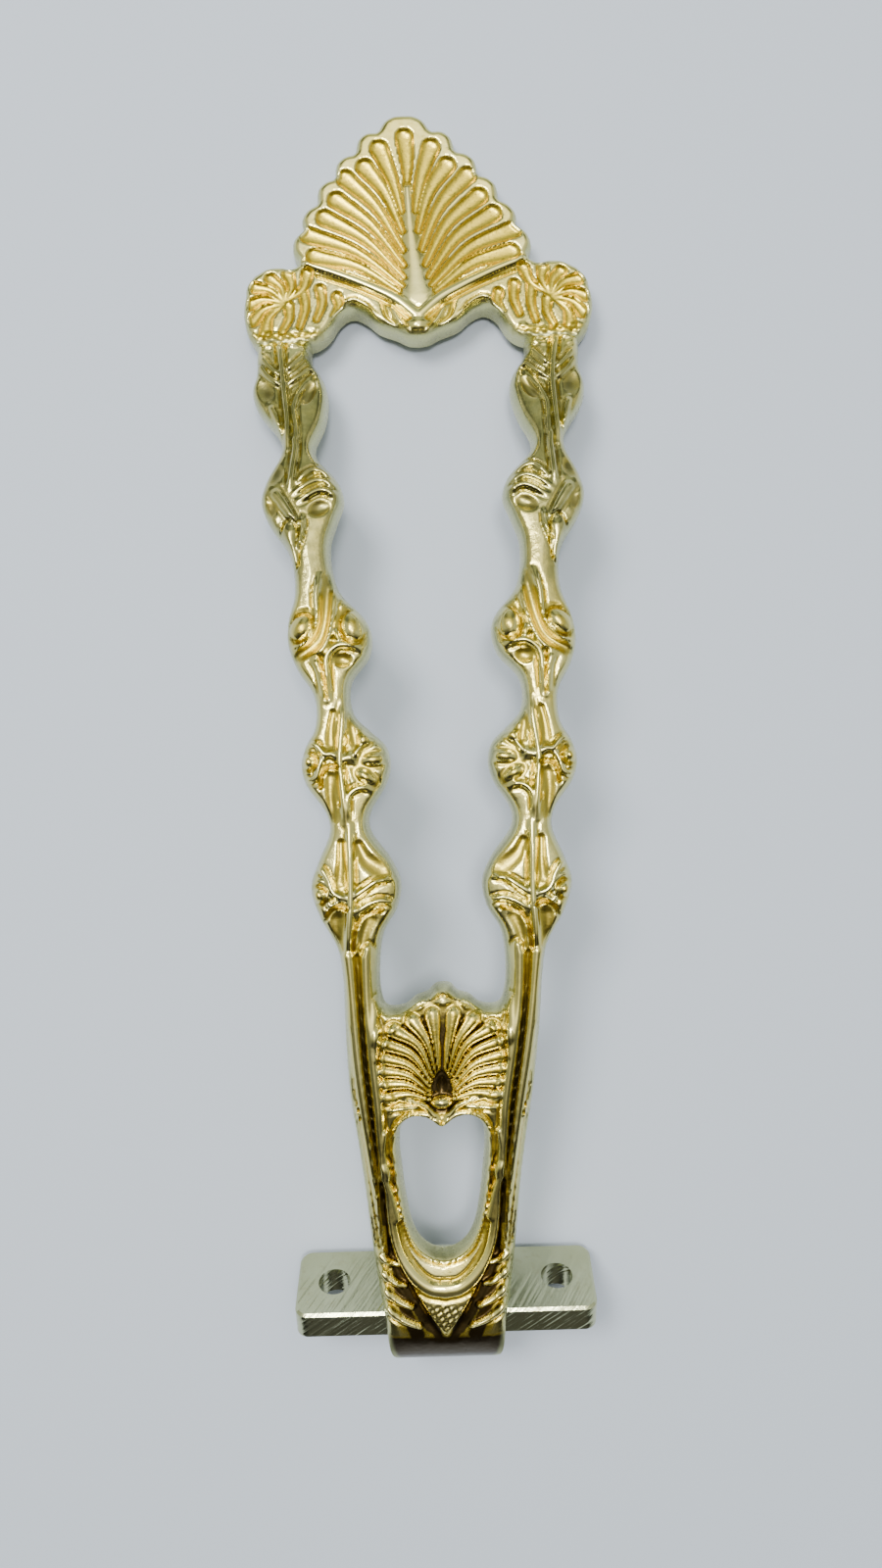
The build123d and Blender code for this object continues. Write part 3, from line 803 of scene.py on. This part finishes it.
FAN_Y = 67.3
# one side's flutes of the fan, from the middle one outward: tip, root
FLUTES = [
    ((0.0, 29.1), (1.0, 18.3)),
    ((4.35, 27.25), (1.05, 15.9)),
    ((6.85, 24.05), (1.2, 12.4)),
    ((10.2, 22.25), (1.4, 9.2)),
    ((11.9, 18.55), (1.65, 6.6)),
    ((14.0, 15.5), (1.95, 4.6)),
    ((17.05, 12.6), (2.3, 3.2)),
    ((16.25, 8.75), (2.9, 2.3)),
]
FLUTE_BOW = 0.11  # share of a flute's length that it bows upward by
FLUTE_REACH = (0.965, 0.972)  # shares of the tip's place where the hollow ends
RIB_TOP = 20.5
# one side's wing: the hub its flutes spread from, their tips, and the cuts across the bar beside it
WING_HUB = (21.2, 1.0)
WING_TIPS = [
    (17.3, 5.7), (20.4, 5.6), (23.2, 4.9), (25.8, 3.5), (26.7, 0.6), (26.2, -2.2), (24.2, -4.0),
]
WING_CUTS = [
    ((20.6, 0.2), (21.6, -4.2)), ((18.3, 2.8), (18.8, -3.4)), ((15.5, 3.0), (16.2, -2.2)),
    ((12.9, 1.6), (13.4, -1.6)),
]


def crest_ornament(relief):
    """The fan and the two wings."""
    # hollow flutes of the fan, each bowed upward, with the ridges left standing between them
    for i, (tip, root) in enumerate(FLUTES):
        for side in ((1, -1) if i else (1,)):
            bow = FLUTE_BOW * math.hypot(tip[0] - root[0], tip[1] - root[1])
            middle = (
                side * (0.5 * (tip[0] + root[0]) - bow * 0.25),
                FAN_Y + 0.5 * (tip[1] + root[1]) + (bow * 0.75 if i > 1 else 0),
            )
            end = (side * tip[0] * FLUTE_REACH[0], FAN_Y + tip[1] * FLUTE_REACH[1])
            start = (side * root[0], FAN_Y + root[1]) if i else (0, FAN_Y + RIB_TOP)
            relief.stroke([start, middle, end], 1.1, -0.85, 3.15, 0.42)
    # middle rib and the double ridge it runs into
    rib = [(0, FAN_Y + RIB_TOP), (0, FAN_Y + 12), (0, FAN_Y + 5), (0, FAN_Y + 1.5)]
    relief.stroke(rib, 0.9, 0.4, 4.6, 0.8)
    for side in (1, -1):
        def at(*points):
            return [(side * u, FAN_Y + v) for u, v in points]

        relief.stroke(at((17.2, 7.2), (12, 5.2), (7, 2.9), (3.4, 0.9), (0.3, -1.8)), 1.2, 0.55, 1.8)
        relief.stroke(
            at((15.8, 5.2), (11.6, 3.6), (7.2, 1.6), (4.2, -0.2), (1.6, -2.4)), 0.8, -0.6, 1.0
        )
        # wing: flutes round its hub, and cuts across the bar that joins it to the middle
        for tip in WING_TIPS:
            dx, dy = tip[0] - WING_HUB[0], tip[1] - WING_HUB[1]
            start = (WING_HUB[0] + 0.05 * dx, WING_HUB[1] + 0.05 * dy)
            middle = (WING_HUB[0] + 0.6 * dx - 0.14 * dy, WING_HUB[1] + 0.6 * dy + 0.14 * dx)
            relief.stroke(at(start, middle, tip), 0.9, -0.85, 2.3, 0.5)
        for start, tip in WING_CUTS:
            middle = (0.5 * (start[0] + tip[0]) - 0.55, 0.5 * (start[1] + tip[1]))
            relief.stroke(at(start, middle, tip), 2.0, -0.8, 1.3, 0.5)
        relief.stroke(at((12.6, -1.2), (10.7, 0.9), (8.8, 0.2), (6.6, -2.2)), 1.0, 0.5, 0.9)
        relief.stroke(at((5.6, 0.4), (5.0, -2.0), (3.6, -3.4)), 1.1, -0.5, 0.7)
        relief.stroke(at((4.4, 0.0), (3.2, -2.6), (1.2, -5.2)), 0.9, 0.5, 0.9)
    relief.boss((0, FAN_Y - 3.4), (1.6, 1.4), 0.7)


CREST_EDGE_DROP = 2.1
JOINT_EDGE_DROP = 0.4


def crest_top(x, y, depth):
    """Height of the crest's front, with the same values for its material as the arms have."""
    relief = Relief(x, y)
    crest_ornament(relief)
    height = relief.height()
    height = height * smooth_step(depth, 0.45, 1.15)
    # the edge is hardly rounded where it meets an arm
    joint = smooth_step(np.abs(x), 14.8, 16.2) * (1 - smooth_step(np.abs(x), 25.4, 26.4))
    joint = joint * (1 - smooth_step(y, 62.0, 64.5))
    drop = CREST_EDGE_DROP * (1 - joint) + JOINT_EDGE_DROP * joint
    z = crest_front(y) + height + lumps(x, y) - rounded_edge(depth, EDGE_WIDTH, drop)
    recess = shade_of(height) * smooth_step(depth, 0.5, 1.2)
    seam = 1 - smooth_step(np.abs(y - 62.0), 0.5, 1.8)
    recess = np.maximum(recess, 0.6 * seam * (np.abs(x) > 15))
    hollow_shade = dim_reflection = np.zeros(x.shape)
    return z, recess, hollow_shade, dim_reflection


# ---------------------------------------------------------------- materials

BLACK = (0, 0, 0)
WHITE = (1, 1, 1)


def node(tree, kind, **inputs):
    made = tree.nodes.new(kind)
    for key, value in inputs.items():
        made.inputs[key.replace("_", " ")].default_value = value
    return made


def ramp(tree, factor, stops):
    made = tree.nodes.new("ShaderNodeValToRGB")
    elements = made.color_ramp.elements
    while len(elements) < len(stops):
        elements.new(0.5)
    for element, (position, colour) in zip(elements, stops):
        element.position = position
        element.color = (*colour, 1)
    tree.links.new(factor, made.inputs["Fac"])
    return made.outputs["Color"]


def mix(tree, factor, a, b, blend="MIX"):
    made = tree.nodes.new("ShaderNodeMix")
    made.data_type = "RGBA"
    made.blend_type = blend
    for value, socket in ((factor, 0), (a, 6), (b, 7)):
        if isinstance(value, (int, float)):
            made.inputs[socket].default_value = value
        elif isinstance(value, tuple):
            made.inputs[socket].default_value = (*value, 1)
        else:
            tree.links.new(value, made.inputs[socket])
    return made.outputs[2]


def math_node(tree, operation, a, b=None, c=None):
    made = tree.nodes.new("ShaderNodeMath")
    made.operation = operation
    for value, socket in ((a, 0), (b, 1), (c, 2)):
        if value is None:
            continue
        if isinstance(value, (int, float)):
            made.inputs[socket].default_value = value
        else:
            tree.links.new(value, made.inputs[socket])
    return made.outputs[0]


def mark(tree, name):
    """A value that the mesh carries at its vertices."""
    made = tree.nodes.new("ShaderNodeAttribute")
    made.attribute_name = name
    return made.outputs["Fac"]


BRASS = (0.78, 0.66, 0.19)
PALE_BRASS = (0.88, 0.80, 0.32)
# greenish colour of the sides and back: a painted dim reflection
SIDE_REFLECTION_BRASS = (0.46, 0.48, 0.25)
# the bracket's darker, greener brass: a painted dim reflection in its ground face
DIM_REFLECTION_GROUND_BRASS = (0.46, 0.48, 0.27)
PALE_DIM_REFLECTION_GROUND_BRASS = (0.56, 0.58, 0.36)
# olive of the painted dim reflection on the arms
DIM_REFLECTION_BRASS = (0.30, 0.28, 0.10)
AMBER = (0.66, 0.49, 0.04)
TARNISH = (0.30, 0.24, 0.10)
# painted shade deep in the hollows and the heel's painted dark reflection, mixed with dark specks
# of dirt
DARK = (0.060, 0.040, 0.014)
SCRATCH_ANGLE = 52
SCRATCH_SCALE = (1700, 90, 90)  # fine across a scratch, long along it


def noise(tree, where, scale, detail, roughness=0.6):
    """Noise over a set of coordinates; scale is in waves for each unit of them."""
    made = node(tree, "ShaderNodeTexNoise", Scale=scale, Detail=detail, Roughness=roughness)
    tree.links.new(where, made.inputs["Vector"])
    return made.outputs["Fac"]


def paint_light_and_age(tree, where, fine, grain, colour, rough):
    """Colour a casting by the recess, hollow shade, side and dim reflection values that its mesh
    carries: amber in the hollows, painted shade deep in them, and painted dim reflections, olive on
    the arms and greenish on the sides and back. Returns the colour, the roughness and how far the
    hollows' film covers the metal."""
    # amber where the relief begins to sink, and dark where it is deep: painted shade in the
    # hollows, with grainy specks of dirt
    wander = math_node(tree, "MULTIPLY", math_node(tree, "SUBTRACT", fine, 0.5), 0.5)
    shade = math_node(tree, "ADD", mark(tree, "recess"), wander)
    cover = ramp(tree, shade, [(0.22, BLACK), (0.55, WHITE)])
    colour = mix(tree, math_node(tree, "MULTIPLY", cover, 0.9), colour, AMBER)
    deep = ramp(tree, shade, [(0.5, BLACK), (0.8, WHITE)])
    specks = ramp(tree, grain, [(0.55, BLACK), (0.66, WHITE)])
    specks = math_node(tree, "MULTIPLY", specks, 0.45)
    shade_and_dirt = math_node(tree, "MAXIMUM", mark(tree, "hollow_shade"), specks)
    colour = mix(tree, math_node(tree, "MULTIPLY", deep, shade_and_dirt), colour, DARK)
    rough = math_node(tree, "ADD", rough, math_node(tree, "MULTIPLY", cover, 0.14))
    # painted dim reflection: olive on the arms, in patches, and greenish on the sides and back
    patches = noise(tree, where, 500.0, 3.0)
    patches = ramp(tree, patches, [(0.35, (0.9, 0.9, 0.9)), (0.65, (0.5, 0.5, 0.5))])
    dim_reflection = math_node(tree, "MULTIPLY", mark(tree, "dim_reflection"), patches)
    colour = mix(tree, dim_reflection, colour, DIM_REFLECTION_BRASS)
    side = mark(tree, "side")
    colour = mix(tree, math_node(tree, "MULTIPLY", side, 0.8), colour, SIDE_REFLECTION_BRASS)
    rough = math_node(tree, "ADD", rough, math_node(tree, "MULTIPLY", side, 0.12))
    return colour, rough, cover


def file_marks(tree, where):
    """Height of the scratches that a file left, all of them one way."""
    turned = node(tree, "ShaderNodeMapping", Rotation=(0, 0, math.radians(SCRATCH_ANGLE)))
    tree.links.new(where, turned.inputs["Vector"])
    stretched = node(tree, "ShaderNodeMapping", Scale=SCRATCH_SCALE)
    tree.links.new(turned.outputs[0], stretched.inputs["Vector"])
    return math_node(tree, "MULTIPLY", noise(tree, stretched.outputs[0], 1.0, 2.0, 0.5), 5.0)


def brass(name, marked, filed, base=BRASS, light=PALE_BRASS):
    """Brass. marked: the mesh carries the values for its amber, painted shade and painted
    reflections. filed: it has file marks.
    """
    material = bpy.data.materials.new(name)
    material.use_nodes = True
    tree = material.node_tree
    tree.nodes.clear()
    output = tree.nodes.new("ShaderNodeOutputMaterial")
    shader = node(tree, "ShaderNodeBsdfPrincipled", Metallic=1.0)
    tree.links.new(shader.outputs[0], output.inputs[0])
    where = tree.nodes.new("ShaderNodeTexCoord").outputs["Object"]
    broad = noise(tree, where, 90.0, 3.0)
    fine = noise(tree, where, 900.0, 4.0)
    grain = noise(tree, where, 2600.0, 3.0)
    colour = mix(tree, ramp(tree, broad, [(0.35, BLACK), (0.68, WHITE)]), base, light)
    rough = math_node(tree, "MULTIPLY_ADD", fine, 0.14, 0.09)
    # the surface itself: fine waves and grain
    waves = math_node(tree, "MULTIPLY", fine, 0.6)
    height = math_node(tree, "ADD", waves, math_node(tree, "MULTIPLY", grain, 0.25))
    if marked:
        colour, rough, cover = paint_light_and_age(tree, where, fine, grain, colour, rough)
        # rougher in the hollows
        strength = math_node(tree, "MULTIPLY_ADD", cover, 1.6, 0.35)
        height = math_node(tree, "MULTIPLY", height, strength)
    else:
        cover = ramp(tree, fine, [(0.55, BLACK), (0.75, WHITE)])
        colour = mix(tree, math_node(tree, "MULTIPLY", cover, 0.35), colour, TARNISH)
    if filed:
        height = math_node(tree, "ADD", height, file_marks(tree, where))
    tree.links.new(colour, shader.inputs["Base Color"])
    tree.links.new(rough, shader.inputs["Roughness"])
    bump = node(tree, "ShaderNodeBump", Strength=0.35, Distance=0.00012)
    tree.links.new(height, bump.inputs["Height"])
    tree.links.new(bump.outputs[0], shader.inputs["Normal"])
    return material


frame_brass = brass("frame_brass", True, False)
crest_brass = brass("crest_brass", True, False)
# the bracket's base colour is a painted dim greenish reflection
bracket_brass = brass("bracket_brass", False, True, DIM_REFLECTION_GROUND_BRASS, PALE_DIM_REFLECTION_GROUND_BRASS)
pin_brass = brass("pin_brass", False, False)


# ---------------------------------------------------------------- pieces

CHEEK_RADIUS = 3.4
CHEEK_INNER_X = 6.2
PIN_PROUD = 0.1  # the pin's ends stand this far out of the cheeks
CHEEK_TOP = 15.2  # inside the wall of the foot
CHEEK_POINTS = 17


def cheek(side):
    """A cheek of the hinge: a lobe round the pin that runs up into the wall of the foot."""
    outer = pin_high.x / MM - PIN_PROUD
    profile = [
        (PIN_Y + CHEEK_RADIUS * math.cos(a), PIN_Z + CHEEK_RADIUS * math.sin(a))
        for a in np.linspace(-math.pi, 0, CHEEK_POINTS)
    ]
    profile += [(PIN_Y + CHEEK_RADIUS, CHEEK_TOP), (PIN_Y - CHEEK_RADIUS, CHEEK_TOP)]
    n = len(profile)
    sides = (CHEEK_INNER_X, outer) if side > 0 else (-outer, -CHEEK_INNER_X)
    vertices = [(x, y, z) for x in sides for y, z in profile]
    faces = [list(range(n))[::-1], [n + k for k in range(n)]]
    faces += [[k, (k + 1) % n, n + (k + 1) % n, n + k] for k in range(n)]
    return np.array(vertices, float), faces


frame_casting = casting(
    "frame_casting", [frame_outline, opening], frame_top, frame_back, frame_brass
)
cheeks = []
for side, name in ((1, "cheek_right"), (-1, "cheek_left")):
    vertices, faces = cheek(side)
    whole = np.ones(len(vertices))
    marks = {"recess": 0 * whole, "hollow_shade": whole, "side": whole}
    cheeks.append(build(name, vertices, faces, marks, frame_brass))
crest_casting = casting("crest_casting", [crest_outline], crest_top, crest_back, crest_brass)

for piece in [frame_casting, *cheeks]:
    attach(piece, "knocker")
    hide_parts("knocker_frame")
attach(crest_casting, "knocker")
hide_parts("shell_crest")

for name, material in (("hinge_bracket", bracket_brass), ("hinge_pin", pin_brass)):
    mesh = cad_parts[name].data
    mesh.materials.clear()
    mesh.materials.append(material)


# ---------------------------------------------------------------- floor, light and camera

FLOOR_SIZE = 3.0
FLOOR_DROP = 0.0002  # just under the part, in metres, as is everything from here on
FLOOR_COLOUR = (0.42, 0.47, 0.55)
BACKDROP = (0.34, 0.35, 0.37)
WORLD_STRENGTH = 1.75
LAMP_COLOUR = (1.0, 0.98, 0.94)


def plain(name, colour, roughness):
    material = bpy.data.materials.new(name)
    material.use_nodes = True
    shader = material.node_tree.nodes["Principled BSDF"]
    shader.inputs["Base Color"].default_value = (*colour, 1)
    shader.inputs["Roughness"].default_value = roughness
    return material


bpy.ops.mesh.primitive_plane_add(size=FLOOR_SIZE, location=(0, 0, -FLOOR_DROP))
floor = bpy.context.object
floor.name = "floor"
floor.data.materials.append(plain("floor_paper", FLOOR_COLOUR, 0.85))

world = bpy.data.worlds.new("studio")
bpy.context.scene.world = world
world.use_nodes = True
tree = world.node_tree
background = tree.nodes["Background"]
direction = tree.nodes.new("ShaderNodeTexCoord").outputs["Generated"]
split = tree.nodes.new("ShaderNodeSeparateXYZ")
tree.links.new(direction, split.inputs[0])
# the room as the metal sees it: dark toward the heel, bright across the middle, dim beyond the
# crest, and darker to each side
along = math_node(tree, "MULTIPLY_ADD", split.outputs["Y"], 0.5, 0.5)
sky = ramp(tree, along, [
    (0.00, (0.04, 0.04, 0.04)),
    (0.20, (0.05, 0.05, 0.05)),
    (0.33, (0.35, 0.35, 0.34)),
    (0.42, (1.00, 1.00, 0.97)),
    (0.80, (1.00, 1.00, 0.97)),
    (0.87, (0.20, 0.23, 0.21)),
    (1.00, (0.22, 0.25, 0.23)),
])
across = math_node(tree, "ABSOLUTE", math_node(tree, "SUBTRACT", split.outputs["X"], 0.05))
patch = ramp(tree, across, [
    (0.00, (1.70, 1.70, 1.65)),
    (0.22, (1.35, 1.35, 1.30)),
    (0.42, (0.50, 0.52, 0.50)),
    (1.00, (0.36, 0.39, 0.37)),
])
studio_colour = mix(tree, 1.0, sky, patch, "MULTIPLY")
seen = tree.nodes.new("ShaderNodeLightPath").outputs["Is Camera Ray"]
background_colour = mix(tree, seen, studio_colour, BACKDROP)
tree.links.new(background_colour, background.inputs["Color"])
background.inputs["Strength"].default_value = WORLD_STRENGTH


def area_light(name, place, target, size, power, colour):
    light = bpy.data.lights.new(name, "AREA")
    light.energy = power
    light.size = size
    light.color = colour
    lamp = bpy.data.objects.new(name, light)
    lamp.location = place
    lamp.rotation_euler = (Vector(target) - Vector(place)).to_track_quat("-Z", "Y").to_euler()
    bpy.context.scene.collection.objects.link(lamp)


area_light("ceiling_lamp", (0.03, 0.02, 0.6), (0, 0, 0), 0.09, 2.2, LAMP_COLOUR)
area_light("ceiling_panel", (-0.25, 0.25, 0.7), (0, 0, 0), 0.25, 6.0, LAMP_COLOUR)

# straight above the part, a little turned, with a phone's wide lens
LENS = 27
FILM_HEIGHT = 36
CAMERA_PLACE = (0.0015, -0.00935, 0.194)
CAMERA_TURN = -1.63
camera_data = bpy.data.cameras.new("camera")
camera = bpy.data.objects.new("camera", camera_data)
bpy.context.scene.collection.objects.link(camera)
camera_data.lens = LENS
camera_data.sensor_fit = "VERTICAL"
camera_data.sensor_height = FILM_HEIGHT
camera_data.clip_start = 0.01
camera.location = CAMERA_PLACE
camera.rotation_euler = (0, 0, math.radians(CAMERA_TURN))
bpy.context.scene.camera = camera
